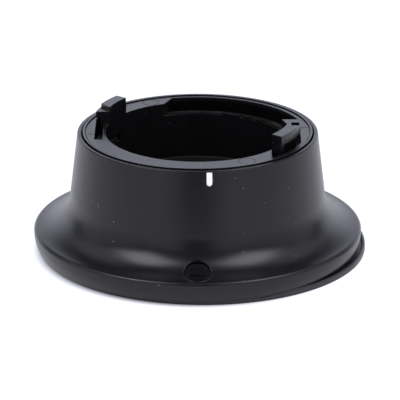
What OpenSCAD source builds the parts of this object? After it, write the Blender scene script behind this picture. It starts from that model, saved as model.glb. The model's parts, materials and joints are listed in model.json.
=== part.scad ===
// Twist-lock throat collar of a kitchen disposer.
// A flared outer shell stands on a rubber deck gasket. A lock ring with two bayonet hooks
// turns inside the rim, carried by a collar and held down by a snap ring. A button at the
// front works a latch lever that reaches up to the skirt of the lock ring.
// Z is up and z = 0 is the face that rests on the deck. The front is towards -Y.
// Azimuths are measured from the front, positive towards +X.

/* [Outer shell] */
// Outside radius of the rim at the top
rim_r = 62.1; // [58:0.1:74]
// Height of the rim above the lower edge of the shell
shell_h = 61.8; // [56:0.2:74]
// Draft of the conical wall, in degrees
draft = 7; // [5:0.5:9]
// Height above the lower edge where the flare leaves the cone
flare_h = 28; // [25:0.5:32]
// Outside radius of the skirt
skirt_r = 85.3; // [84:0.1:102]
// Height of the upright band of the skirt
band_h = 11.1; // [9:0.1:13]
// Outside radius of the skirt at its lower edge
foot_r = 83; // [82:0.1:83.6]
// Wall thickness of the shell
wall = 2; // [1.6:0.1:2.4]

/* [Index mark] */
// Azimuth of the white index mark, in degrees
mark_az = 5.4; // [0:0.2:12]
// Width of the index mark
mark_w = 2.8; // [2:0.1:4]
// Length of the index mark
mark_l = 7.4; // [5:0.1:9]
// Depth of the recess that the mark fills
mark_depth = 0.5; // [0.3:0.1:0.8]

/* [Lock ring] */
// Radius of the throat, shared by the lock ring and the sleeve
bore_r = 47.75; // [40:0.25:49]
// Wall of the skirt of the lock ring
skirt_wall = 2; // [1.6:0.1:2.4]
// Thickness of the flat top of the lock ring
plate_t = 2; // [1.6:0.1:2.6]
// Width of the raised lip at the edge of the lock ring
lip_w = 1.1; // [0.8:0.1:1.6]
// Height of the lip above the flat top
lip_h = 0.5; // [0.3:0.1:1]
// Gap between the lip and the rim of the shell
rim_gap = 0.7; // [0.5:0.1:1.2]
// Length of the skirt of the lock ring below its flat top
ring_skirt_l = 29.7; // [28:0.1:31]
// How far the lock ring turns, in degrees
ring_turn = 30; // [15:1:35]

/* [Bayonet hooks] */
// Height of the hooks above the flat top
hook_h = 8.3; // [7:0.1:12]
// Thickness of the flange of a hook
hook_flange_t = 5; // [4:0.1:5.5]
// Reach of the flange, measured from the throat
hook_reach = 6.2; // [5:0.1:7]
// Azimuth of the closed end of the first hook, in degrees
hook_az = 52; // [48:0.5:56]
// Distance of the open end of a hook from the X axis
hook_end_y = 11; // [8:0.5:14]

/* [Release latch] */
// Place of the button along the flare, as an angle on the arc of the flare
button_arc = 62; // [56:1:64]
// Radius of the button hole
button_hole_r = 7.3; // [6:0.1:7.6]
// Radial gap between the button and its hole
button_gap = 0.4; // [0.3:0.05:0.6]
// Travel of the button
button_travel = 1.8; // [1.2:0.1:2]
// Radius of the pivot pin of the latch lever
pivot_r = 1.5; // [1.2:0.1:1.8]
// Width of the latch lever
lever_w = 5; // [4:0.5:6]

/* [Base] */
// Thickness of the deck gasket under the shell
gasket_t = 1.8; // [1.4:0.1:2.4]
// Outside radius of the deck gasket
gasket_r = 83.9; // [83:0.1:86]
// Width of the deck gasket
gasket_w = 7.6; // [6:0.1:7.6]
// How far the loose gasket sits off centre, towards +X
gasket_shift = 3.7; // [0:0.1:3.7]
// How far the loose gasket sits off centre, towards the back
gasket_back = 2.2; // [0:0.1:2.2]
// Thickness of the base plate
base_t = 2; // [1.6:0.1:2.4]
// Wall of the throat sleeve
sleeve_wall = 2.5; // [2:0.1:3]
// Number of screws that hold the base plate to the shell
base_screw_count = 6; // [3,6]

/* [Hidden] */
$fn = 96;

eps = 0.01;
big = 200;

// heights
shell_z = gasket_t;
rim_z = shell_z + shell_h;
plate_z = rim_z + 0.1;
lip_z = plate_z + lip_h;
hook_z = plate_z + hook_h;
band_z = shell_z + band_h;
flare_z = shell_z + flare_h;
base_z = shell_z + base_t;

// outline of the flare: an arc tangent to the cone that ends at the upper edge of the band
cone_slope = tan(draft);
flare_r = rim_r + (rim_z - flare_z) * cone_slope;
flare_dx = skirt_r - flare_r;
flare_dz = flare_z - band_z;
arc_r = (flare_dx * flare_dx + flare_dz * flare_dz) / (2 * (flare_dx * cos(draft) - flare_dz * sin(draft)));
arc_x = flare_r + arc_r * cos(draft);
arc_z = flare_z + arc_r * sin(draft);
arc_end = acos((arc_x - skirt_r) / arc_r);
arc_steps = 24;
band_mid = 0.6;

function cone_r(z) = rim_r + (rim_z - z) * cone_slope;
function polar(r, a) = [r * sin(a), -r * cos(a)];
// angle on the flare arc where the surface at depth d reaches radius r
function arc_stop(d, r) = acos((arc_x - r) / (arc_r + d));
// points of the flare at depth d under the surface, from the cone down to the band
function flare_points(d, stop) = [for (i = [0:arc_steps])
    let (a = draft + (stop - draft) * i / arc_steps)
    [arc_x - (arc_r + d) * cos(a), arc_z - (arc_r + d) * sin(a)]];
// outline of the whole shell surface at depth d, from the top to the lower edge
function skin(d) = concat(
    [[cone_r(rim_z) - d / cos(draft), rim_z]],
    flare_points(d, d == 0 ? arc_end : arc_stop(d, skirt_r - d)),
    [[skirt_r - d, shell_z + band_h * band_mid], [foot_r - d, shell_z]]);
function reversed(v) = [for (i = [len(v) - 1:-1:0]) v[i]];

// lock ring
lip_r = rim_r - wall / cos(draft) - rim_gap;
lip_in_r = lip_r - lip_w;
lip_groove = 0.5;
lip_groove_depth = 0.6;
skirt_out_r = bore_r + skirt_wall;
ring_bottom = plate_z - ring_skirt_l;
window_floor = plate_z - 6.7;
shoulder_w = 2.3;
window_x1 = bore_r * sin(hook_az) + 0.05;
window_x2 = lip_in_r - 5.3;
window_y = 13.5;
window_r = lip_in_r - 2.2;
strip_x = bore_r + 1;
notch_in_r = lip_in_r - 2.7;
notch_left = -18.3;
notch_slant = 6.9;
notch_y = window_y + 5.1;
seam_y = 5;
seam_w = 0.5;
seam_depth = 0.4;
hook_wall = 3.9;
hook_step = 1.5;
hook_step_az = 71;
hook_step_skew = 4;
hook_web_deg = 2.6;
hook_out_r = bore_r + hook_reach;
rib_az = [[134.8, 139.2], [144.4, 149.6], [152, 164]];
rib_h = 2.1;
ejector_az = [28, 208];

// bearing collar, thrust washer and snap ring
running = 0.08;
collar_in_r = skirt_out_r + running;
collar_wall = 3.6;
collar_out_r = collar_in_r + collar_wall;
collar_z = plate_z - 19.7;
collar_top = plate_z - 7.7;
collar_flange_t = 2.5;
collar_flange_r = cone_r(collar_z + collar_flange_t) - wall / cos(draft) - 0.6;
washer_t = 1;
body_gap = 0.3;
shoulder_z = collar_top + washer_t + body_gap;
snap_t = 1.2;
snap_z = collar_z - 0.4 - snap_t;
snap_groove = 0.8;
snap_out = 2.2;
snap_open_deg = 14;
collar_screw_r = collar_flange_r - 3;
collar_screw_az = [45, 135, 225, 315];
collar_boss_r = 4.6;
collar_boss_l = 14;

// stop screws and their slots
stop_az = [90, 270];
stop_r = 1.5;
stop_z = collar_z + 8;
stop_gap = 0.3;
stop_play_deg = 2.4;

// sleeve
sleeve_out_r = bore_r + sleeve_wall;
wiper_t = 0.9;
sleeve_top = ring_bottom - wiper_t - body_gap;
sleeve_flange_t = 2;
sleeve_screw_r = bore_r + 11.5;
sleeve_screw_az = [50, 140, 220, 310];
gusset_az = [20, 80, 115, 165, 195, 250, 280, 340];
gusset_t = 2;

// base plate and its screws
plate_clear = 0.4;
base_out_r = foot_r - wall - plate_clear;
base_in_r = sleeve_out_r + 0.25;
base_screw_r = foot_r - 14;
base_boss_r = 3.6;
sleeve_flange_r = base_screw_r - base_boss_r - 0.3;
gasket_in_r = gasket_r - gasket_w;
bead_r = 0.9;
bead_z = gasket_t + 0.9;

// screw sizes: shank radius, head radius, head height
screw_shank = 1.4;
screw_head = 2.8;
screw_head_t = 1.5;
pilot_clear = 0.02;

// latch: axis of the button in the plane x = 0, as [distance in front of the axis, height]
press_out = cos(button_arc);
press_up = sin(button_arc);
button_out = arc_x - arc_r * press_out;
button_up = arc_z - arc_r * press_up;
cap_top = 0.3;
cap_t = 2;
cap_bottom = cap_top + cap_t;
cap_r = button_hole_r - button_gap;
guide_floor = cap_bottom + button_travel + 1.2;
guide_floor_t = 1;
guide_wall = 1.6;
guide_end = guide_floor + guide_floor_t;
plunger_r = 2.2;
plunger_tip_r = 1.1;
plunger_taper = 0.8;
plunger_end = guide_end + 0.5;
contact_gap = 0.3;
lever_arm = 13;
// the pivot lies on the plane of the lever's pad, one arm's length inwards
pivot_out = button_out - (plunger_end + contact_gap) * press_out - lever_arm * press_up;
pivot_up = button_up - (plunger_end + contact_gap) * press_up + lever_arm * press_out;
lever_hub = 3.3;
lever_pad_t = 1.7;
lever_pad_over = 2.3;
nose_z = ring_bottom + 5;
nose_gap = 0.45;
nose_h = 3;
notch_play = 0.8;
ear_in = lever_w / 2 + 2.7;
ear_t = 2;
ear_out = ear_in + ear_t;
clip_t = 0.6;
clip_gap = 0.1;
pin_half = ear_out + clip_gap + clip_t + 0.6;
lug_x = 13.5;
lug_out = button_out - 2.6;
lug_t = 2;
lug_l = 9.5;
lug_w = 8;
lug_z = button_up - 5.8;
spring_wire = 0.3;
spring_steps = 20;

// ---------- shared shapes ----------

// stands children at radius r and azimuth a, with -Y pointing outwards
module at(a, r = 0, z = 0) {
    rotate([0, 0, a]) translate([0, -r, z]) children();
}

module ring(r_in, r_out, z, h) {
    translate([0, 0, z]) difference() {
        cylinder(r = r_out, h = h);
        translate([0, 0, -1]) cylinder(r = r_in, h = h + 2);
    }
}

// part of a flat ring between two azimuths
module sector(r_in, r_out, a1, a2, z, h) {
    mid = (a1 + a2) / 2;
    translate([0, 0, z]) linear_extrude(h) intersection() {
        difference() {
            circle(r = r_out);
            circle(r = r_in);
        }
        polygon([[0, 0], polar(2 * r_out, a1), polar(2 * r_out, mid), polar(2 * r_out, a2)]);
    }
}

// countersunk screw with its head face at z = 0 and its shank upwards
module flat_screw(l) {
    cylinder(r1 = screw_head, r2 = screw_shank, h = screw_head_t);
    translate([0, 0, screw_head_t - eps]) cylinder(r = screw_shank, h = l - screw_head_t);
}

// pan head screw with its head above z = 0 and its shank below
module pan_screw(l) {
    difference() {
        cylinder(r = screw_head, h = screw_head_t);
        for (turn = [0, 90]) rotate([0, 0, turn])
            translate([-screw_head * 0.6, -0.3, screw_head_t - 0.7]) cube([screw_head * 1.2, 0.6, 1]);
    }
    translate([0, 0, -l]) cylinder(r = screw_shank, h = l + eps);
}

// frame of the button: z along the pressing axis, z = 0 on the surface of the flare
module button_frame() {
    translate([0, -button_out, button_up]) rotate([90 - button_arc, 0, 0]) children();
}

// plane x = 0 seen from +X: children draw with x = distance in front, y = height
module side_plate(x1, x2) {
    translate([x1, 0, 0]) rotate([90, 0, 90]) linear_extrude(x2 - x1) mirror([1, 0]) children();
}

// solid inside the shell surface at depth d
module inside_shell(d) {
    rotate_extrude($fn = 160) polygon(concat([[0, shell_z]], [[0, rim_z]], skin(d)));
}

// wire of radius r wound as a helix from z = 0 to h
module coil(mean_r, wire_r, turns, h, lead = 0) {
    count = round(turns * spring_steps);
    sides = 8;
    slope = atan(h / (turns * 360) * 180 / PI / mean_r);
    points = [for (i = [0:count]) let (a = lead + 360 * turns * i / count)
        for (j = [0:sides - 1]) let (b = 360 * j / sides)
        [(mean_r + wire_r * cos(b)) * cos(a) + wire_r * sin(b) * sin(slope) * sin(a),
         (mean_r + wire_r * cos(b)) * sin(a) - wire_r * sin(b) * sin(slope) * cos(a),
         h * i / count + wire_r * sin(b) * cos(slope)]];
    walls = [for (i = [0:count - 1]) for (j = [0:sides - 1])
        [i * sides + j, (i + 1) * sides + j, (i + 1) * sides + (j + 1) % sides, i * sides + (j + 1) % sides]];
    ends = [[for (j = [0:sides - 1]) j], [for (j = [sides - 1:-1:0]) count * sides + j]];
    polyhedron(points = points, faces = concat(walls, ends), convexity = 4);
}

// ---------- outer shell and mark ----------

// upright slot with round ends that runs off the top of the rim
module mark_prism() {
    at(mark_az) translate([0, -cone_r(rim_z) - 5, rim_z - mark_l]) rotate([-90, 0, 0]) {
        translate([0, -mark_w / 2, 0]) cylinder(r = mark_w / 2, h = 20);
        translate([-mark_w / 2, -mark_l + 0.6, 0]) cube([mark_w, mark_l - 0.6 - mark_w / 2, 20]);
    }
}

// layer of the conical wall between two depths
module cone_layer(d1, d2) {
    rotate_extrude($fn = 160) polygon([
        [cone_r(rim_z - 0.5) - d2, rim_z - 0.5], [cone_r(rim_z - 0.5) - d1, rim_z - 0.5],
        [cone_r(rim_z - 12) - d1, rim_z - 12], [cone_r(rim_z - 12) - d2, rim_z - 12]]);
}

// screw post moulded inside the shell, cut off inside the wall
module shell_post(a, r, z1, z2, post_r) {
    intersection() {
        at(a, r, z1) cylinder(r = post_r, h = z2 - z1);
        inside_shell(wall / 2);
    }
}

module outer_shell() color([0.09, 0.09, 0.1]) {
    difference() {
        union() {
            rotate_extrude($fn = 160) polygon(concat(skin(0), reversed(skin(wall))));
            for (i = [0:base_screw_count - 1])
                shell_post(30 + 360 * i / base_screw_count, base_screw_r, base_z, rim_z, base_boss_r);
            for (a = collar_screw_az)
                shell_post(a, collar_screw_r, collar_z - collar_boss_l, collar_z, collar_boss_r);
            for (side = [-1, 1])
                shell_post(side * atan(lug_x / lug_out), norm([lug_x, lug_out]), lug_z + lug_t,
                    rim_z, screw_head);
        }
        for (i = [0:base_screw_count - 1])
            at(30 + 360 * i / base_screw_count, base_screw_r, shell_z - 1)
                cylinder(r = screw_shank + pilot_clear, h = 10);
        for (a = collar_screw_az)
            at(a, collar_screw_r, collar_z - 9) cylinder(r = screw_shank + pilot_clear, h = 10);
        for (side = [-1, 1])
            translate([side * lug_x, -lug_out, lug_z]) cylinder(r = screw_shank + pilot_clear, h = 4.6);
        button_frame() translate([0, 0, -10]) cylinder(r = button_hole_r, h = 30);
        intersection() {
            mark_prism();
            cone_layer(-2, mark_depth);
        }
    }
}

module index_mark() color([0.95, 0.95, 0.93]) {
    intersection() {
        mark_prism();
        cone_layer(-0.05, mark_depth);
    }
}

// ---------- base ----------

module deck_gasket() color([0.05, 0.05, 0.05]) {
    difference() {
        translate([gasket_shift, gasket_back, 0]) union() {
            ring(gasket_in_r, gasket_r - bead_r, 0, gasket_t);
            rotate_extrude($fn = 160) translate([gasket_r - bead_r, 0]) intersection() {
                union() {
                    translate([-bead_r, 0]) square([2 * bead_r, bead_z - bead_r + gasket_t / 4]);
                    translate([0, bead_z - bead_r + gasket_t / 4]) circle(r = bead_r, $fn = 24);
                }
                translate([-bead_r, 0]) square([2 * bead_r, bead_z + bead_r]);
            }
        }
        // the bead only stands up where it is clear of the shell
        translate([0, 0, gasket_t]) cylinder(r1 = foot_r + body_gap, h = band_h * band_mid,
            r2 = skirt_r + body_gap, $fn = 160);
    }
}

module base_plate() color([0.12, 0.12, 0.13]) {
    difference() {
        ring(base_in_r, base_out_r, shell_z, base_t);
        for (i = [0:base_screw_count - 1])
            at(30 + 360 * i / base_screw_count, base_screw_r, shell_z)
                flat_hole(base_t);
        for (a = sleeve_screw_az) at(a, sleeve_screw_r, shell_z) flat_hole(base_t);
    }
}

// clearance hole for a countersunk screw
module flat_hole(t) {
    translate([0, 0, -eps])
        cylinder(r1 = screw_head + 2 * pilot_clear, r2 = screw_shank + pilot_clear, h = screw_head_t + eps);
    translate([0, 0, screw_head_t - eps]) cylinder(r = screw_shank + pilot_clear, h = t);
}

module base_screws() color("silver") {
    for (i = [0:base_screw_count - 1])
        at(30 + 360 * i / base_screw_count, base_screw_r, shell_z) flat_screw(8.5);
}

// ---------- throat ----------

module throat_sleeve() color([0.1, 0.1, 0.11]) {
    difference() {
        union() {
            ring(bore_r, sleeve_out_r, shell_z, sleeve_top - shell_z);
            ring(bore_r + 1, sleeve_flange_r, base_z, sleeve_flange_t);
            for (a = sleeve_screw_az) at(a, sleeve_screw_r, base_z) cylinder(r = 3.4, h = 7);
            for (a = gusset_az) rotate([0, 0, a]) side_plate(-gusset_t / 2, gusset_t / 2)
                polygon([[sleeve_out_r - 1, base_z + 1], [sleeve_flange_r - 1, base_z + 1],
                    [sleeve_out_r - 1, base_z + 18]]);
        }
        for (a = sleeve_screw_az) at(a, sleeve_screw_r, shell_z - 1)
            cylinder(r = screw_shank + pilot_clear, h = 8);
    }
}

module sleeve_screws() color("silver") {
    for (a = sleeve_screw_az) at(a, sleeve_screw_r, shell_z) flat_screw(7);
}

module wiper_seal() color([0.04, 0.04, 0.04]) {
    ring(bore_r + 0.25, sleeve_out_r - 0.4, sleeve_top, wiper_t);
}

module bearing_collar() color([0.16, 0.16, 0.17]) {
    difference() {
        union() {
            ring(collar_in_r, collar_out_r, collar_z, collar_top - collar_z);
            ring(collar_in_r + 1, collar_flange_r, collar_z, collar_flange_t);
        }
        for (a = collar_screw_az) at(a, collar_screw_r, collar_z - 1)
            cylinder(r = screw_shank + pilot_clear, h = 5);
        for (a = stop_az) at(a, 0, stop_z) rotate([90, 0, 0])
            cylinder(r = stop_r + 0.5 + pilot_clear, h = big);
    }
}

module collar_screws() color("silver") {
    for (a = collar_screw_az) at(a, collar_screw_r, collar_z + collar_flange_t) pan_screw(9);
}

module thrust_washer() color([0.08, 0.08, 0.08]) {
    ring(collar_in_r + 0.1, collar_out_r - 0.2, collar_top, washer_t);
}

// grub screws whose dog points run in the slots of the lock ring
module stop_screws() color("dimgray") {
    for (a = stop_az) at(a, 0, stop_z) difference() {
        rotate([90, 0, 0]) union() {
            translate([0, 0, bore_r + 0.4]) cylinder(r = stop_r, h = 6);
            translate([0, 0, collar_in_r + 0.1]) cylinder(r = stop_r + 0.5, h = collar_wall - 0.3);
        }
        translate([0, -collar_out_r, 0]) rotate([90, 0, 0]) translate([0, 0, -1.6])
            cylinder(r = 0.8, h = 3, $fn = 6);
    }
}

// ---------- lock ring ----------

// plan of the gap under a hook and past its open end, where a strip of the skirt stays
module window_plan() {
    intersection() {
        circle(r = window_r);
        polygon([[window_x1, -big], [window_x2, -big], [window_x2, window_y], [strip_x, window_y],
            [strip_x, -hook_end_y - 0.5], [window_x1, -hook_end_y - 0.5]]);
    }
}

// plan of the wide cut-out at the back of the flat top
module notch_plan() {
    intersection() {
        circle(r = notch_in_r);
        polygon([[notch_left, bore_r - 4.8], [notch_left + notch_slant, lip_r], [lip_r, lip_r],
            [lip_r, notch_y], [bore_r / 2, notch_y], [notch_left, bore_r - 10]]);
    }
}

// one bayonet hook: curved wall, radial web at the closed end, flange on top
module hook() {
    foot = window_floor - 3;
    difference() {
        union() {
            sector(bore_r - 1, skirt_out_r - 0.3, hook_az, 90, foot, hook_z - foot);
            sector(bore_r - 1, bore_r + hook_wall, hook_az, 90, shoulder_z, hook_z - shoulder_z);
            sector(bore_r - 1, hook_out_r, hook_az, hook_az + hook_web_deg, shoulder_z, hook_z - shoulder_z);
            sector(bore_r - 1, hook_out_r, hook_az, 90, hook_z - hook_flange_t, hook_flange_t);
        }
        // the open end is square to Y
        translate([0, -hook_end_y, foot - 1]) cube([big, big, big]);
        // the top steps down before the open end
        translate([0, 0, hook_z - hook_step]) linear_extrude(hook_step + 1) polygon([[0, 0],
            polar(bore_r - 2, hook_step_az + hook_step_skew),
            polar(hook_out_r + 3, hook_step_az - hook_step_skew), [big, 0]]);
    }
}

// turned outline of the lock ring: skirt, shoulder, flat top, groove and lip
module ring_blank() {
    rotate_extrude($fn = 160) polygon([[bore_r - 1, ring_bottom], [skirt_out_r, ring_bottom],
        [skirt_out_r, snap_z - 0.05], [skirt_out_r - snap_groove, snap_z - 0.05],
        [skirt_out_r - snap_groove, snap_z + snap_t + 0.05], [skirt_out_r, snap_z + snap_t + 0.05],
        [skirt_out_r, shoulder_z], [skirt_out_r + shoulder_w, shoulder_z],
        [skirt_out_r + shoulder_w, plate_z - plate_t], [lip_r, plate_z - plate_t], [lip_r, lip_z],
        [lip_in_r, lip_z], [lip_in_r, plate_z - lip_groove_depth],
        [lip_in_r - lip_groove, plate_z - lip_groove_depth], [lip_in_r - lip_groove, plate_z],
        [bore_r - 1, plate_z]]);
}

module lock_ring() color([0.2, 0.2, 0.21]) {
    difference() {
        union() {
            difference() {
                ring_blank();
                for (turn = [0, 180]) rotate([0, 0, turn])
                    translate([0, 0, window_floor]) linear_extrude(20) window_plan();
                translate([0, 0, window_floor]) linear_extrude(20) notch_plan();
            }
            for (turn = [0, 180]) rotate([0, 0, turn]) hook();
            // small ribs on the cut-down edge of the skirt
            for (rib = rib_az) sector(bore_r - 1, skirt_out_r - 0.3, rib[0], rib[1], window_floor - 1, rib_h);
        }
        translate([0, 0, ring_bottom - 1]) cylinder(r = bore_r, h = big, $fn = 160);
        // slots for the dog points of the stop screws
        for (a = stop_az)
            sector(bore_r - 2, skirt_out_r + 1, a - ring_turn - stop_play_deg, a + stop_play_deg,
                stop_z - stop_r - stop_gap, 2 * (stop_r + stop_gap));
        // window that the latch lever drops into when the ring is locked
        at(-ring_turn, 0, nose_z - nose_h / 2 - notch_play)
            translate([-lever_w / 2 - notch_play, -skirt_out_r - 2, 0])
                cube([lever_w + 2 * notch_play, skirt_wall + 4, nose_h + 2 * notch_play]);
        // short seams across the flat top, from each window to the lip
        for (turn = [0, 180]) rotate([0, 0, turn])
            translate([window_x2 - 1, seam_y - seam_w / 2, plate_z - seam_depth])
                cube([lip_in_r - lip_groove - 0.3 - window_x2 + 0.4, seam_w, 1]);
        // round ejector marks on the flat top
        for (a = ejector_az) at(a, bore_r + 5.1, plate_z - 0.25) difference() {
            cylinder(r = 4.6, h = 1);
            translate([0, 0, -1]) cylinder(r = 4.3, h = 3);
        }
    }
}

module snap_ring() color("silver") {
    difference() {
        ring(skirt_out_r - snap_groove + 0.1, skirt_out_r + snap_out, snap_z, snap_t);
        at(180, 0, snap_z - 1) linear_extrude(4) polygon([[0, 0],
            polar(big, -snap_open_deg / 2), polar(big, snap_open_deg / 2)]);
    }
}

// ---------- release latch ----------

module button_bezel() color([0.13, 0.13, 0.14]) {
    button_frame() difference() {
        translate([0, 0, -1.6]) cylinder(r = button_hole_r - pilot_clear, h = 3.3);
        translate([0, 0, -5]) cylinder(r = button_hole_r - 0.35, h = 12);
    }
}

module release_button() color([0.11, 0.11, 0.12]) {
    button_frame() difference() {
        translate([0, 0, -cap_bottom]) cylinder(r = cap_r - 0.35, h = cap_t);
        // thumb slot across the cap
        translate([-3.4, -2.4, -cap_top - 0.6]) cube([6.8, 1.4, 2]);
        // seat of the plunger
        translate([0, 0, -cap_bottom - 1]) cylinder(r = plunger_r, h = 2);
    }
}

module button_plunger() color("silver") {
    button_frame() translate([0, 0, -plunger_end]) {
        cylinder(r1 = plunger_tip_r, r2 = plunger_r, h = plunger_taper);
        translate([0, 0, plunger_taper])
            cylinder(r = plunger_r, h = plunger_end - plunger_taper - cap_bottom + 1);
    }
}

module button_spring() color("silver") {
    button_frame() translate([0, 0, -guide_floor + spring_wire + 0.05])
        coil(4.2, spring_wire, 3.5, guide_floor - cap_bottom - 2 * spring_wire - 0.1);
}

// moulded guide for the button with two ears for the pivot pin
module latch_housing() color([0.14, 0.14, 0.15]) {
    difference() {
        union() {
            intersection() {
                button_frame() translate([0, 0, -guide_end])
                    cylinder(r = button_hole_r + guide_wall, h = guide_end + 6);
                inside_shell(wall + 0.15);
            }
            for (side = [-1, 1]) {
                side_plate(side > 0 ? ear_in : -ear_out, side > 0 ? ear_out : -ear_in) ear_outline();
                translate([side * (lug_x + 3) - (side > 0 ? lug_l : 0), -lug_out - lug_w / 2, lug_z])
                    cube([lug_l, lug_w, lug_t]);
            }
        }
        button_frame() {
            translate([0, 0, -guide_floor]) cylinder(r = button_hole_r + 0.1, h = 20);
            translate([0, 0, -20]) cylinder(r = plunger_r + 0.1, h = 30);
        }
        translate([-big / 2, -pivot_out, pivot_up]) rotate([0, 90, 0])
            cylinder(r = pivot_r + pilot_clear, h = big);
        for (side = [-1, 1]) translate([side * lug_x, -lug_out, lug_z - 1])
            cylinder(r = screw_shank + pilot_clear, h = 5);
        translate([0, 0, -big + base_z + 0.2]) cylinder(r = big, h = big);
    }
}

// outline of an ear: from the guide to round the pivot
module ear_outline() {
    hull() {
        translate([pivot_out, pivot_up]) circle(r = pivot_r + 2, $fn = 32);
        translate([button_out - guide_end * press_out - 3 * press_up,
            button_up - guide_end * press_up + 3 * press_out]) circle(r = 1.6, $fn = 32);
    }
}

module housing_screws() color("silver") {
    for (side = [-1, 1]) translate([side * lug_x, -lug_out, lug_z]) rotate([180, 0, 0]) pan_screw(4.4);
}

module latch_lever() color([0.3, 0.3, 0.32]) {
    tip = skirt_out_r + nose_gap;
    difference() {
        union() {
            translate([-lever_w / 2, -pivot_out, pivot_up]) rotate([0, 90, 0])
                cylinder(r = lever_hub, h = lever_w);
            // upper arm and nose
            side_plate(-lever_w / 2, lever_w / 2)
                polygon([[pivot_out - 2.2, pivot_up], [tip + 3, nose_z - nose_h],
                    [tip, nose_z - nose_h / 2], [tip, nose_z + nose_h / 2],
                    [tip + 3, nose_z + nose_h / 2 + 0.6],
                    [tip + 5.6, nose_z + nose_h / 2], [pivot_out + 2.2, pivot_up]]);
            // lower arm and pad under the plunger
            side_plate(-lever_w / 2, lever_w / 2) translate([pivot_out, pivot_up]) rotate(button_arc - 90)
                translate([0, -lever_pad_t]) square([lever_arm + lever_pad_over, lever_pad_t]);
        }
        translate([-big / 2, -pivot_out, pivot_up]) rotate([0, 90, 0])
            cylinder(r = pivot_r + 0.05, h = big);
    }
}

module pivot_pin() color("silver") {
    translate([-pin_half, -pivot_out, pivot_up]) rotate([0, 90, 0]) difference() {
        cylinder(r = pivot_r, h = 2 * pin_half);
        for (z = [pin_half - ear_out - clip_gap - clip_t, pin_half + ear_out + clip_gap])
            ring(pivot_r - 0.3, pivot_r + 1, z - 0.02, clip_t + 0.04);
    }
}

module pin_clips() color("silver") {
    for (side = [-1, 1])
        translate([side > 0 ? ear_out + clip_gap : -ear_out - clip_gap - clip_t, -pivot_out, pivot_up])
        rotate([0, 90, 0]) difference() {
            ring(pivot_r - 0.28, pivot_r + 1.3, 0, clip_t);
            translate([0, -0.9, -1]) cube([5, 1.8, 3]);
        }
}

// torsion spring round the pivot pin, beside the lever
module lever_spring() color("silver") {
    translate([lever_w / 2 + 0.5, -pivot_out, pivot_up]) rotate([0, 90, 0])
        coil(2.3, spring_wire, 2.5, 1.6);
}

outer_shell();
index_mark();
deck_gasket();
base_plate();
base_screws();
throat_sleeve();
sleeve_screws();
bearing_collar();
collar_screws();
thrust_washer();
stop_screws();
wiper_seal();
lock_ring();
snap_ring();
release_button();
button_bezel();
button_plunger();
button_spring();
latch_housing();
housing_screws();
latch_lever();
pivot_pin();
pin_clips();
lever_spring();
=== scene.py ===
import bpy
import bmesh
import json
import math
from mathutils import Matrix, Vector


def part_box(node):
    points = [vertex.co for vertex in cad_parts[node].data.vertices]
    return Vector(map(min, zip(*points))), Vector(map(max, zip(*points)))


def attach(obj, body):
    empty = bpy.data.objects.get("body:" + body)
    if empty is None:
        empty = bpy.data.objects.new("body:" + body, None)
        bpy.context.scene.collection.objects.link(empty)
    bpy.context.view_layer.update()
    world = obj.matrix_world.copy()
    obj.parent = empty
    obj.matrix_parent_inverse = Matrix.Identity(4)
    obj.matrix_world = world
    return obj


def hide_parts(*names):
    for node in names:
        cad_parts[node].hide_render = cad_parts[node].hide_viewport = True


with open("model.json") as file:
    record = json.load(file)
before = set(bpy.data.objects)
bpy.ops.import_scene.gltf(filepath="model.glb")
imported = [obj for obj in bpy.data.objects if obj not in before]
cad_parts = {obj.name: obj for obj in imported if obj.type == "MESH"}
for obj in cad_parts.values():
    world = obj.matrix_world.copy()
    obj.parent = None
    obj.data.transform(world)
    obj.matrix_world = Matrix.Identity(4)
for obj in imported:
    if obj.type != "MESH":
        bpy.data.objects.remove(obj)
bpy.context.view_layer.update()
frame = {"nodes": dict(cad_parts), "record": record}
node = frame["nodes"]

# ---------- outer shell ----------
# The flared body of the collar: one thick-walled moulding in satin black plastic.
# A conical neck runs out through a hollow curve into a wide skirt with an upright band.
# Screw posts for the base plate, the bearing collar and the latch stand inside it.


class Wire:
    """One output in a shader graph. Sums, differences, products, quotients and comparisons of wires add
    Math nodes.
    """

    def __init__(self, tree, socket=None):
        self.tree, self.socket = tree, socket

    def add(self, kind, settings=None, sockets=None, out=0):
        """Adds a node, gives it its settings, then the values or wires of its sockets."""
        made = self.tree.nodes.new("ShaderNode" + kind)
        for name, value in (settings or {}).items():
            if name == "stops":
                ramp = made.color_ramp
                for stop, (place, shade) in zip(ramp.elements, value):
                    stop.position, stop.color = place, (shade, shade, shade, 1)
                for place, shade in value[2:]:
                    ramp.elements.new(place).color = (shade, shade, shade, 1)
            else:
                setattr(made, name, value)
        for name, value in (sockets or {}).items():
            if isinstance(value, Wire):
                self.tree.links.new(value.socket, made.inputs[name])
            else:
                made.inputs[name].default_value = value
        return Wire(self.tree, made.outputs[out] if made.outputs else None)

    def maths(self, operation, a, b=0.0):
        return self.add("Math", {"operation": operation}, {0: a, 1: b})

    def __add__(self, other):
        return self.maths("ADD", self, other)

    def __radd__(self, other):
        return self.maths("ADD", other, self)

    def __sub__(self, other):
        return self.maths("SUBTRACT", self, other)

    def __rsub__(self, other):
        return self.maths("SUBTRACT", other, self)

    def __mul__(self, other):
        return self.maths("MULTIPLY", self, other)

    def __rmul__(self, other):
        return self.maths("MULTIPLY", other, self)

    def __truediv__(self, other):
        return self.maths("DIVIDE", self, other)

    def __gt__(self, other):
        return self.maths("GREATER_THAN", self, other)

    def __lt__(self, other):
        return self.maths("LESS_THAN", self, other)

    def clamp(self):
        return self.add("Clamp", {}, {"Value": self})


def blank_finish(name):
    material = bpy.data.materials.new(name)
    material.use_nodes = True
    material.node_tree.nodes.clear()
    return material, Wire(material.node_tree)


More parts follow.
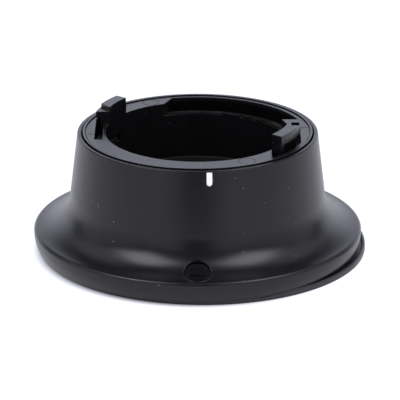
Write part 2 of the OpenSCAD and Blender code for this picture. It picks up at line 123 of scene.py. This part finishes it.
def moulded_plastic(name, shade, gloss, grain=1.0, round_edge=0.0004, dust=1.0):
    """Moulded plastic: fine grain, patchy gloss, hairline scuffs, specks of dust, rubbed edges."""
    material, g = blank_finish(name)
    place = g.add("TexCoord", out="Object")
    grit = {"Vector": place, "Scale": 2600.0, "Detail": 2.0, "Roughness": 0.6}
    texture = g.add("TexNoise", {}, grit)
    blotch = {"Vector": place, "Scale": 28.0, "Detail": 3.0, "Roughness": 0.55}
    patches = g.add("TexNoise", {}, blotch)
    stretched = g.add("Mapping", {}, {"Vector": place, "Scale": (1.0, 1.0, 0.045)})
    hairs = g.add("TexNoise", {}, {"Vector": stretched, "Scale": 820.0, "Detail": 1.0})
    scuffs = g.add("ValToRGB", {"stops": [(0.64, 0.0), (0.74, 1.0)]}, {"Fac": hairs})
    scuffs = scuffs * g.add("ValToRGB", {"stops": [(0.48, 0.0), (0.66, 1.0)]}, {"Fac": patches})
    cell = {"Vector": place, "Scale": 260.0}
    near = g.add("TexVoronoi", {}, cell, out="Distance")
    pick = g.add("SeparateColor", {}, {"Color": g.add("TexVoronoi", {}, cell, out="Color")})
    specks = (near < (pick - 0.55) * 0.22) * (pick > 0.68) * dust
    flat = g.add("NewGeometry", out="Normal")
    soft = g.add("Bevel", {"samples": 6}, {"Radius": round_edge})
    turn = g.add("VectorMath", {"operation": "DOT_PRODUCT"}, {0: soft, 1: flat}, out="Value")
    rubbed = g.add("ValToRGB", {"stops": [(0.02, 0.0), (0.16, 1.0)]}, {"Fac": 1 - turn})
    rubbed = rubbed * (patches * 0.8 + 0.2)
    deep = tuple(c * 0.8 for c in shade) + (1,)
    pale = tuple(c * 1.3 for c in shade) + (1,)
    colour = g.add("Mix", {"data_type": "RGBA"}, {0: patches, 6: deep, 7: pale}, out=2)
    worn = tuple(min(1, c * 2.6 + 0.004) for c in shade) + (1,)
    wear = (rubbed * 0.6 + scuffs * 0.15).clamp()
    colour = g.add("Mix", {"data_type": "RGBA"}, {0: wear, 6: colour, 7: worn}, out=2)
    pale_dust = (0.13, 0.13, 0.14, 1)
    colour = g.add("Mix", {"data_type": "RGBA"}, {0: specks, 6: colour, 7: pale_dust}, out=2)
    rough = gloss - 0.04 + patches * 0.08 + scuffs * 0.12 - rubbed * 0.06 + specks * 0.3
    bump = g.add("Bump", {}, {"Strength": 0.22 * grain, "Distance": 0.00003,
                              "Height": texture, "Normal": soft})
    body = g.add("BsdfPrincipled", {}, {"Base Color": colour, "Roughness": rough.clamp(),
                                        "Normal": bump, "IOR": 1.39})
    g.add("OutputMaterial", {}, {"Surface": body})
    return material


def dress(names, material):
    """Gives CAD nodes that keep their shape a finish."""
    for name in names:
        slots = node[name].material_slots
        if not slots:
            node[name].data.materials.append(material)
        for slot in slots:
            slot.material = material


def show(name, mesh, material, body, slot_name, *stands_for):
    """Puts a finished mesh in the scene, riding on a body in place of the CAD nodes it stands for."""
    piece = bpy.data.objects.new(name, mesh)
    bpy.context.scene.collection.objects.link(piece)
    mesh.materials.append(material)
    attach(piece, body)
    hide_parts(*stands_for)
    return piece


def rounded(points, radii, steps=6):
    """The closed outline through the points, each corner rounded to its own radius."""
    outline = []
    for i, corner in enumerate(points):
        here, before = Vector(corner), Vector(points[i - 1])
        after = Vector(points[(i + 1) % len(points)])
        r = radii[i]
        if r <= 0:
            outline.append(here)
            continue
        a, b = (before - here).normalized(), (after - here).normalized()
        half = a.angle(b) / 2
        longest = 0.45 * min((before - here).length, (after - here).length)
        cut = min(r / math.tan(half), longest)
        r = cut * math.tan(half)
        middle = here + (a + b).normalized() * (r / math.sin(half))
        start, end = here + a * cut, here + b * cut
        turn = math.pi - 2 * half
        arm, other = start - middle, end - middle
        side = 1 if arm.x * other.y - arm.y * other.x > 0 else -1
        for k in range(steps + 1):
            outline.append(middle + Matrix.Rotation(side * turn * k / steps, 2) @ arm)
    return outline


def turned(outline, around):
    """A closed (radius, height) outline turned about the vertical axis into a ring."""
    ring = bmesh.new()
    rows = []
    for j in range(around):
        a = 2 * math.pi * j / around
        rows.append([ring.verts.new((p[0] * math.sin(a), -p[0] * math.cos(a), p[1])) for p in outline])
    for j in range(around):
        here, ahead = rows[j], rows[(j + 1) % around]
        for i in range(len(outline)):
            k = (i + 1) % len(outline)
            ring.faces.new((here[i], ahead[i], ahead[k], here[k]))
    bmesh.ops.recalc_face_normals(ring, faces=ring.faces)
    return ring


def as_mesh(name, work, sharp=35):
    """Ends a bmesh: smooth shading that breaks at sharp edges."""
    mesh = bpy.data.meshes.new(name)
    work.to_mesh(mesh)
    work.free()
    mesh.shade_smooth()
    mesh.set_sharp_from_angle(angle=math.radians(sharp))
    return mesh


shell_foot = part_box("outer_shell")[0].z
rim_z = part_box("outer_shell")[1].z
rim_r = 0.0621
skirt_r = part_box("outer_shell")[1].x
foot_r = 0.083
wall = 0.002
draft = math.radians(7)
flare_z = shell_foot + 0.028
band_z = shell_foot + 0.0111
flare_r = rim_r + (rim_z - flare_z) * math.tan(draft)
across, down = skirt_r - flare_r, flare_z - band_z
arc_r = (across ** 2 + down ** 2) / (2 * (across * math.cos(draft) - down * math.sin(draft)))
arc_x, arc_z = flare_r + arc_r * math.cos(draft), flare_z + arc_r * math.sin(draft)


def flare(depth, last, steps=56):
    """Points of the hollow curve at a depth under the surface, from the neck out to the skirt."""
    reach = arc_r + depth
    return [(arc_x - reach * math.cos(a), arc_z - reach * math.sin(a))
            for a in (draft + (last - draft) * i / steps for i in range(steps + 1))]


edge_r = 0.0018
edge_end = math.acos((arc_x - skirt_r + edge_r) / arc_r)
inner_end = math.acos((arc_x - skirt_r + wall) / (arc_r + wall))
outer_line = flare(0, edge_end)
edge_z = outer_line[-1][1] - edge_r
edge = [(skirt_r - edge_r + edge_r * math.sin(a), edge_z + edge_r * math.cos(a))
        for a in (math.pi / 2 * k / 10 for k in range(1, 11))]
tuck = [(k / 16, skirt_r - (skirt_r - foot_r) * (k / 16) ** 2.4) for k in range(1, 17)]
band = [(r, edge_z + (shell_foot - edge_z) * t) for t, r in tuck]
inner_line = flare(wall, inner_end)
inner_line.reverse()
inner_band = [(r - wall, z) for r, z in reversed(band)]
neck_inner = rim_r - wall / math.cos(draft)
points = [(rim_r, rim_z)] + outer_line + edge + band
points += inner_band + inner_line + [(neck_inner, rim_z)]
radii = [0.0005] + [0] * (len(points) - 2) + [0.0003]
shell = turned(rounded(points, radii), 240)


def upright(work, x, y, r, foot, top, sides=32):
    """Adds a closed upright cylinder whose upper end follows top(distance from the axis)."""
    around = [(x + r * math.cos(a), y + r * math.sin(a))
              for a in (2 * math.pi * k / sides for k in range(sides))]
    low = [work.verts.new((px, py, foot)) for px, py in around]
    high = [work.verts.new((px, py, top(math.hypot(px, py)))) for px, py in around]
    peak = work.verts.new((x, y, top(math.hypot(x, y))))
    work.faces.new(low[::-1])
    for k in range(sides):
        n = (k + 1) % sides
        work.faces.new((low[k], low[n], high[n], high[k]))
        work.faces.new((high[k], high[n], peak))


def into_wall(limit=1.0):
    """Height inside the wall, halfway through it, at a distance from the axis, up to a limit."""
    depth = wall / 2
    reach = arc_r + depth

    def height(r):
        if r > arc_x - reach * math.cos(draft):
            return min(limit, arc_z - math.sqrt(reach ** 2 - (arc_x - r) ** 2))
        return min(limit, rim_z - (r + depth / math.cos(draft) - rim_r) / math.tan(draft))
    return height


button_axis = Vector(frame["record"]["behaviour"]["joints"][1]["axis"])
press_angle = math.atan2(-button_axis.z, button_axis.y)
button_y = -(arc_x - arc_r * math.cos(press_angle))
button_place = Vector((0, button_y, arc_z - arc_r * math.sin(press_angle)))
button_frame = Matrix.Translation(button_place) @ Matrix.Rotation(math.pi / 2 - press_angle, 4, "X")
hole_r = 0.0073

shank_r = 0.00142
base_post_w, collar_post_w, lug_w = 0.0036, 0.0046, 0.0028
base_depth, collar_depth, lug_depth = 0.009, 0.009, 0.0046
over, collar_post_l, lug_lift = 0.001, 0.014, 0.002
collar_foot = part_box("bearing_collar")[0].z
collar_post_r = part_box("bearing_collar")[1].y - 0.003
base_post_r = foot_r - 0.014
lug_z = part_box("housing_screws")[1].z - 0.0044
lug_place = (0.0135, button_place.y + 0.0026)
posts, pilots = bmesh.new(), bmesh.new()
for k in range(6):
    a = math.radians(30 + 60 * k)
    x, y = base_post_r * math.sin(a), -base_post_r * math.cos(a)
    upright(posts, x, y, base_post_w, shell_foot + wall, into_wall())
    upright(pilots, x, y, shank_r, shell_foot - over, lambda r: shell_foot + base_depth)
for k in range(4):
    a = math.radians(45 + 90 * k)
    x, y = collar_post_r * math.sin(a), -collar_post_r * math.cos(a)
    upright(posts, x, y, collar_post_w, collar_foot - collar_post_l, into_wall(collar_foot))
    upright(pilots, x, y, shank_r, collar_foot - collar_depth, lambda r: collar_foot + over)
for side in (-1, 1):
    upright(posts, side * lug_place[0], lug_place[1], lug_w, lug_z + lug_lift, into_wall())
    upright(pilots, side * lug_place[0], lug_place[1], shank_r, lug_z, lambda r: lug_z + lug_depth)
hole_low, hole_high = -0.01, 0.02
hole = turned([(0.0, hole_low), (hole_r, hole_low), (hole_r, hole_high), (0.0, hole_high)], 96)
bmesh.ops.remove_doubles(hole, verts=hole.verts, dist=1e-7)
bmesh.ops.transform(hole, matrix=button_frame, verts=hole.verts)
hole_mesh = as_mesh("button_hole", hole)
pilots.from_mesh(hole_mesh)


def carve(piece, *steps):
    """Joins solids to a piece or cuts them out of it, then applies the result."""
    tools = []
    for operation, work in steps:
        tool = bpy.data.objects.new("tool", as_mesh("tool", work))
        bpy.context.scene.collection.objects.link(tool)
        step = piece.modifiers.new(operation, "BOOLEAN")
        step.object, step.operation, step.solver = tool, operation, "EXACT"
        tools.append(tool)
    bpy.context.view_layer.update()
    result = piece.evaluated_get(bpy.context.evaluated_depsgraph_get())
    shaped = bpy.data.meshes.new_from_object(result)
    piece.modifiers.clear()
    piece.data = shaped
    shaped.set_sharp_from_angle(angle=math.radians(35))
    for tool in tools:
        bpy.data.objects.remove(tool)


shell_black = moulded_plastic("satin_black_shell", (0.005, 0.005, 0.0066), 0.3)
shell_piece = show("shell_moulding", as_mesh("outer_shell_skin", shell), shell_black, "collar_body",
                   "shell_plastic", "outer_shell")
carve(shell_piece, ("UNION", posts), ("DIFFERENCE", pilots))

# ---------- index mark ----------
# A short upright line printed white in a shallow recess under the rim.
# It shows which way the lock ring faces.

mark_white, g = blank_finish("white_mark_paint")
place = g.add("TexCoord", out="Object")
uneven = g.add("TexNoise", {}, {"Vector": place, "Scale": 900.0, "Detail": 3.0})
thin = g.add("ValToRGB", {"stops": [(0.3, 0.0), (0.42, 1.0)]}, {"Fac": uneven})
worn_paint, full_paint = (0.7, 0.7, 0.69, 1), (0.95, 0.95, 0.94, 1)
paint = g.add("Mix", {"data_type": "RGBA"}, {0: thin, 6: worn_paint, 7: full_paint}, out=2)
pitted = g.add("Bump", {}, {"Strength": 0.3, "Distance": 0.00005, "Height": uneven})
body = g.add("BsdfPrincipled", {}, {"Base Color": paint, "Roughness": 0.45 + uneven * 0.15,
                                    "Normal": pitted})
g.add("OutputMaterial", {}, {"Surface": body})
dress(["index_mark"], mark_white)

# ---------- bearing collar, thrust washer and their screws ----------
# A fixed ring screwed to four posts carries the lock ring's skirt. It is glass-filled nylon,
# greyer and duller than the shell. A thin black acetal washer on it takes the lock ring's weight.

inner_grey = moulded_plastic("dull_grey_nylon", (0.011, 0.011, 0.0115), 0.52, grain=1.6, dust=0.3)
dress(["bearing_collar"], inner_grey)

acetal, g = blank_finish("black_acetal")
place = g.add("TexCoord", out="Object")
cloud = g.add("TexNoise", {}, {"Vector": place, "Scale": 60.0, "Detail": 4.0})
greased = g.add("ValToRGB", {"stops": [(0.45, 0.0), (0.6, 1.0)]}, {"Fac": cloud})
dry, oiled = (0.016, 0.016, 0.017, 1), (0.009, 0.009, 0.009, 1)
tone = g.add("Mix", {"data_type": "RGBA"}, {0: greased, 6: dry, 7: oiled}, out=2)
body = g.add("BsdfPrincipled", {}, {"Base Color": tone, "Roughness": 0.55 - greased * 0.2})
g.add("OutputMaterial", {}, {"Surface": body})
dress(["thrust_washer"], acetal)


def bright_metal(name, shade, rough, scale):
    """Plated or drawn steel: directionless brushing, a mottled plating and rubbed edges."""
    material, g = blank_finish(name)
    place = g.add("TexCoord", out="Object")
    brushed = g.add("TexNoise", {}, {"Vector": place, "Scale": scale, "Detail": 5.0, "Roughness": 0.7})
    mottle = g.add("TexNoise", {}, {"Vector": place, "Scale": scale * 0.12, "Detail": 2.0})
    dark = tuple(c * 0.72 for c in shade) + (1,)
    full = tuple(shade) + (1,)
    colour = g.add("Mix", {"data_type": "RGBA"}, {0: mottle, 6: dark, 7: full}, out=2)
    soft = g.add("Bevel", {"samples": 4}, {"Radius": 0.00015})
    bump = g.add("Bump", {}, {"Strength": 0.25, "Distance": 0.00002,
                              "Height": brushed, "Normal": soft})
    body = g.add("BsdfPrincipled", {}, {"Base Color": colour, "Metallic": 1.0, "Normal": bump,
                                        "Roughness": (rough + mottle * 0.12 + brushed * 0.08).clamp()})
    g.add("OutputMaterial", {}, {"Surface": body})
    return material


plated_steel = bright_metal("zinc_plated_steel", (0.62, 0.63, 0.64), 0.26, 2400.0)
dress(["collar_screws", "stop_screws"], plated_steel)

# ---------- lock ring and snap ring ----------
# The part that turns: a flat-topped ring with a thin lip, a skirt and two bayonet hooks.
# It is moulded in a slightly glossier black plastic. A sprung steel ring holds it down.

ring_black = moulded_plastic("satin_black_ring", (0.0045, 0.0045, 0.0054), 0.27, grain=0.8, dust=0.3)
dress(["lock_ring"], ring_black)
spring_steel = bright_metal("spring_steel", (0.46, 0.45, 0.44), 0.3, 3000.0)
dress(["snap_ring"], spring_steel)

# ---------- release button ----------
# A round push button sunk in the flare, in a thin bezel. It slides in a moulded guide
# against a coil spring and pushes a steel plunger.


def on_flare(u, v):
    """Height of the flare's surface over the point (u, v) in the button's frame."""
    low, high = -0.004, 0.004
    for _ in range(30):
        h = (low + high) / 2
        p = button_frame @ Vector((u, v, h))
        clear = math.hypot(math.hypot(p.x, p.y) - arc_x, p.z - arc_z) < arc_r
        low, high = (low, h) if clear else (h, high)
    return high


bezel = bmesh.new()
bezel_in, bezel_out, bezel_foot = 0.0069, hole_r - 0.00002, -0.0016
lip_out, lip_h, lip_under = hole_r + 0.00035, 0.00014, 0.0003
bezel_rows = []
for k in range(144):
    a = 2 * math.pi * k / 144
    top = on_flare(lip_out * math.cos(a), lip_out * math.sin(a))
    middle, half = (bezel_in + lip_out) / 2, (lip_out - bezel_in) / 2
    dome = [(middle - half * math.cos(b), top + lip_h * math.sin(b))
            for b in (math.pi * i / 8 for i in range(9))]
    outline = [(bezel_in, bezel_foot)] + dome
    outline += [(bezel_out, top - lip_under), (bezel_out, bezel_foot)]
    bezel_rows.append([bezel.verts.new((r * math.cos(a), r * math.sin(a), h)) for r, h in outline])
for k, here in enumerate(bezel_rows):
    ahead = bezel_rows[(k + 1) % len(bezel_rows)]
    for i in range(len(here)):
        n = (i + 1) % len(here)
        bezel.faces.new((here[i], ahead[i], ahead[n], here[n]))
bmesh.ops.recalc_face_normals(bezel, faces=bezel.faces)
bmesh.ops.transform(bezel, matrix=button_frame, verts=bezel.verts)
button_black = moulded_plastic("gloss_black_button", (0.004, 0.004, 0.0048), 0.24, grain=0.4, dust=0.5)
show("bezel_ring", as_mesh("bezel_ring", bezel, 60), button_black, "collar_body", "shell_plastic",
     "button_bezel")

cap_r, cap_low, cap_high, dish = 0.00655, -0.0023, -0.0003, 0.00035
crown = [(cap_r * k / 12, cap_high - dish * (1 - (k / 12) ** 2)) for k in range(1, 12)]
cap_hole = 0.00001
cap_outline = [(cap_hole, cap_high - dish)] + crown
cap_outline += [(cap_r, cap_high), (cap_r, cap_low), (cap_hole, cap_low)]
cap = turned(rounded(cap_outline, [0] * 12 + [0.0006, 0.0003, 0]), 96)
bmesh.ops.transform(cap, matrix=button_frame, verts=cap.verts)
cap_piece = show("button_cap", as_mesh("button_cap", cap), button_black, "button", "ring_plastic",
                 "release_button")
slot_size, slot_place = (0.0078, 0.0028, 0.0016), (0, -0.0024, cap_high - 0.0001)
slot = bmesh.new()
bmesh.ops.create_cube(slot, size=1.0)
bmesh.ops.scale(slot, vec=slot_size, verts=slot.verts)
bmesh.ops.translate(slot, vec=slot_place, verts=slot.verts)
bmesh.ops.transform(slot, matrix=button_frame, verts=slot.verts)
carve(cap_piece, ("DIFFERENCE", slot))
dress(["button_plunger", "housing_screws"], plated_steel)
dress(["button_spring"], spring_steel)
dress(["latch_housing"], inner_grey)

# ---------- latch lever ----------
# A nylon lever on a steel pin between the guide's two ears. Its lower arm lies under the
# plunger, and its nose reaches the lock ring's skirt. Clips hold the pin, a coil sets it back.

dress(["latch_lever"], inner_grey)
dress(["pivot_pin"], plated_steel)
dress(["pin_clips", "lever_spring"], spring_steel)

# ---------- throat sleeve and wiper ----------
# The fixed lower half of the throat: a ribbed flange screwed to the base plate,
# with a rubber wiper ring that seals it against the lock ring.


def black_rubber(name, shade, rough):
    """Moulded rubber: dull, with a fine bloom and a soft grain."""
    material, g = blank_finish(name)
    place = g.add("TexCoord", out="Object")
    fine = g.add("TexNoise", {}, {"Vector": place, "Scale": 1900.0, "Detail": 3.0})
    bloom = g.add("TexNoise", {}, {"Vector": place, "Scale": 45.0, "Detail": 4.0})
    milky = g.add("ValToRGB", {"stops": [(0.42, 0.0), (0.7, 1.0)]}, {"Fac": bloom})
    pale = tuple(c * 2.0 for c in shade) + (1,)
    deep = tuple(shade) + (1,)
    colour = g.add("Mix", {"data_type": "RGBA"}, {0: milky, 6: deep, 7: pale}, out=2)
    bump = g.add("Bump", {}, {"Strength": 0.35, "Distance": 0.00004, "Height": fine})
    body = g.add("BsdfPrincipled", {}, {"Base Color": colour, "Roughness": (rough + milky * 0.12).clamp(),
                                        "Normal": bump})
    g.add("OutputMaterial", {}, {"Surface": body})
    return material


rubber = black_rubber("black_rubber", (0.008, 0.008, 0.0088), 0.4)
dress(["throat_sleeve"], inner_grey)
dress(["wiper_seal"], rubber)
dress(["sleeve_screws"], plated_steel)

# ---------- base plate ----------
# A flat ring that closes the underside, held to six posts by countersunk screws.

dress(["base_plate"], inner_grey)
dress(["base_screws"], plated_steel)

# ---------- deck gasket ----------
# A loose rubber ring under the skirt, a little off centre, so that its raised bead
# shows on one side. It lies flat on the deck and takes up unevenness.

dress(["deck_gasket"], rubber)

# ---------- studio ----------
# A pale floor that fades out under the object and in front of the camera, with painted shade in a dark
# wedge in front of the camera and a dark disc under the throat, white cards behind, in front and at both
# sides, two large soft lights above left and right, and two weaker ones further back.


def stage_panel(name, corners, tint, glow, shade):
    """A flat stage panel; glow and shade are numbers or wires."""
    mesh = bpy.data.meshes.new(name)
    mesh.from_pydata(corners, [], [tuple(range(len(corners)))])
    panel = bpy.data.objects.new(name, mesh)
    bpy.context.scene.collection.objects.link(panel)
    material, g = blank_finish(name)
    glow = glow(g) if callable(glow) else glow
    shade = shade(g) if callable(shade) else (shade, shade, shade, 1)
    body = g.add("BsdfPrincipled", {}, {"Base Color": shade, "Roughness": 0.9,
                                        "Specular IOR Level": 0.0, "Emission Strength": glow,
                                        "Emission Color": tuple(tint) + (1,)})
    g.add("OutputMaterial", {}, {"Surface": body})
    mesh.materials.append(material)


def lit_floor(g):
    """How light the floor is, painted shade included: 0 in a wedge in front of the camera side, which the
    cone reflects as its dark middle, 1 elsewhere.
    """
    place = g.add("TexCoord", out="Object")
    x, y = (g.add("SeparateXYZ", {}, {0: place}, out=k) for k in (0, 1))
    ahead = g.add("MapRange", {}, {"Value": 0 - y, "From Min": 0.33, "From Max": 0.55})
    aside = g.add("Math", {"operation": "ABSOLUTE"}, {0: x}) + y * 0.36
    beside = g.add("MapRange", {}, {"Value": aside, "From Min": -0.07, "From Max": 0.09})
    return 1 - ahead * (1 - beside)


def from_middle(g):
    place = g.add("TexCoord", out="Object")
    return g.add("VectorMath", {"operation": "LENGTH"}, {0: place}, out="Value")


def floor_glow(g):
    """The floor's own light, from nothing under the gasket to full just outside it."""
    edge = {"Value": from_middle(g), "From Min": 0.080, "From Max": 0.086, "To Max": 0.88}
    return g.add("MapRange", {}, edge) * lit_floor(g)


def floor_colour_with_painted_shade(g):
    """Pale where the floor is lit; painted shade makes it dark in the wedge and in a disc under the
    throat.
    """
    dark, light = (0.03, 0.03, 0.03, 1), (0.2, 0.2, 0.205, 1)
    # Painted shade: dark floor colour in the wedge and in a disc under the throat, which keeps the
    # throat's inside dark.
    pale = lit_floor(g) * (from_middle(g) > 0.052)
    return g.add("Mix", {"data_type": "RGBA"}, {0: pale, 6: dark, 7: light}, out=2)


floor_reach, back_x, back_y, back_z = 4, 2, 1.6, 0.95
stage_panel("floor", [(-floor_reach, -floor_reach, 0), (floor_reach, -floor_reach, 0),
                      (floor_reach, floor_reach, 0), (-floor_reach, floor_reach, 0)],
            (1.0, 1.01, 1.12), floor_glow, floor_colour_with_painted_shade)
stage_panel("back_card", [(-back_x, back_y, 0.0), (back_x, back_y, 0.0), (back_x, back_y, back_z),
                          (-back_x, back_y, back_z)], (0.95, 0.98, 1.2), 0.86, 0.5)
card_tint, card_out, card_front, side_end = (1.0, 1.0, 1.06), 2.2, -2.2, 1.0
front_top, side_top, gap_foot, gap_top = 1.5, 1.2, 0.42, 0.6
for side, name in ((-1, "left"), (1, "right")):
    out = side * card_out
    stage_panel(name + "_front_card", [(side * gap_foot, card_front, 0.0), (out, card_front, 0.0),
                                       (out, card_front, front_top),
                                       (side * gap_top, card_front, front_top)], card_tint, 0.7, 0.5)
    stage_panel(name + "_side_card", [(out, card_front, 0.0), (out, side_end, 0.0),
                                      (out, side_end, side_top),
                                      (out, card_front, side_top)], card_tint, 0.5, 0.5)


def soft_light(name, place, size, power):
    light = bpy.data.lights.new(name, "AREA")
    light.shape, light.size, light.size_y, light.energy = "RECTANGLE", size[0], size[1], power
    light.color = (0.97, 0.98, 1.0)
    lamp = bpy.data.objects.new(name, light)
    lamp.location = place
    lamp.rotation_euler = (Vector((0, 0, 0.03)) - Vector(place)).to_track_quat("-Z", "Y").to_euler()
    bpy.context.scene.collection.objects.link(lamp)


for side, name in ((-1, "left"), (1, "right")):
    soft_light(name + "_soft_light", (side * 0.62, -0.36, 1.05), (0.62, 0.7), 8.6)
    soft_light(name + "_back_light", (side * 1.05, 0.45, 1.1), (0.9, 0.9), 2.2)

world = bpy.data.worlds.new("studio_air")
world.use_nodes = True
world.node_tree.nodes["Background"].inputs["Color"].default_value = (0.03, 0.03, 0.035, 1)
bpy.context.scene.world = world

look_at = Vector((0, 0, 0.0273))
away, rise = 1.57, math.radians(20.21)
lens = bpy.data.cameras.new("camera")
lens.lens, lens.sensor_width = 271.3, 36.0
lens.shift_x, lens.shift_y = 0.006, -0.0073
lens.clip_start, lens.clip_end = 0.1, 20
camera = bpy.data.objects.new("camera", lens)
camera.location = look_at + Vector((0, -away * math.cos(rise), away * math.sin(rise)))
camera.rotation_euler = (math.pi / 2 - rise, 0, 0)
bpy.context.scene.collection.objects.link(camera)
bpy.context.scene.camera = camera
bpy.context.scene.view_settings.view_transform = "Standard"
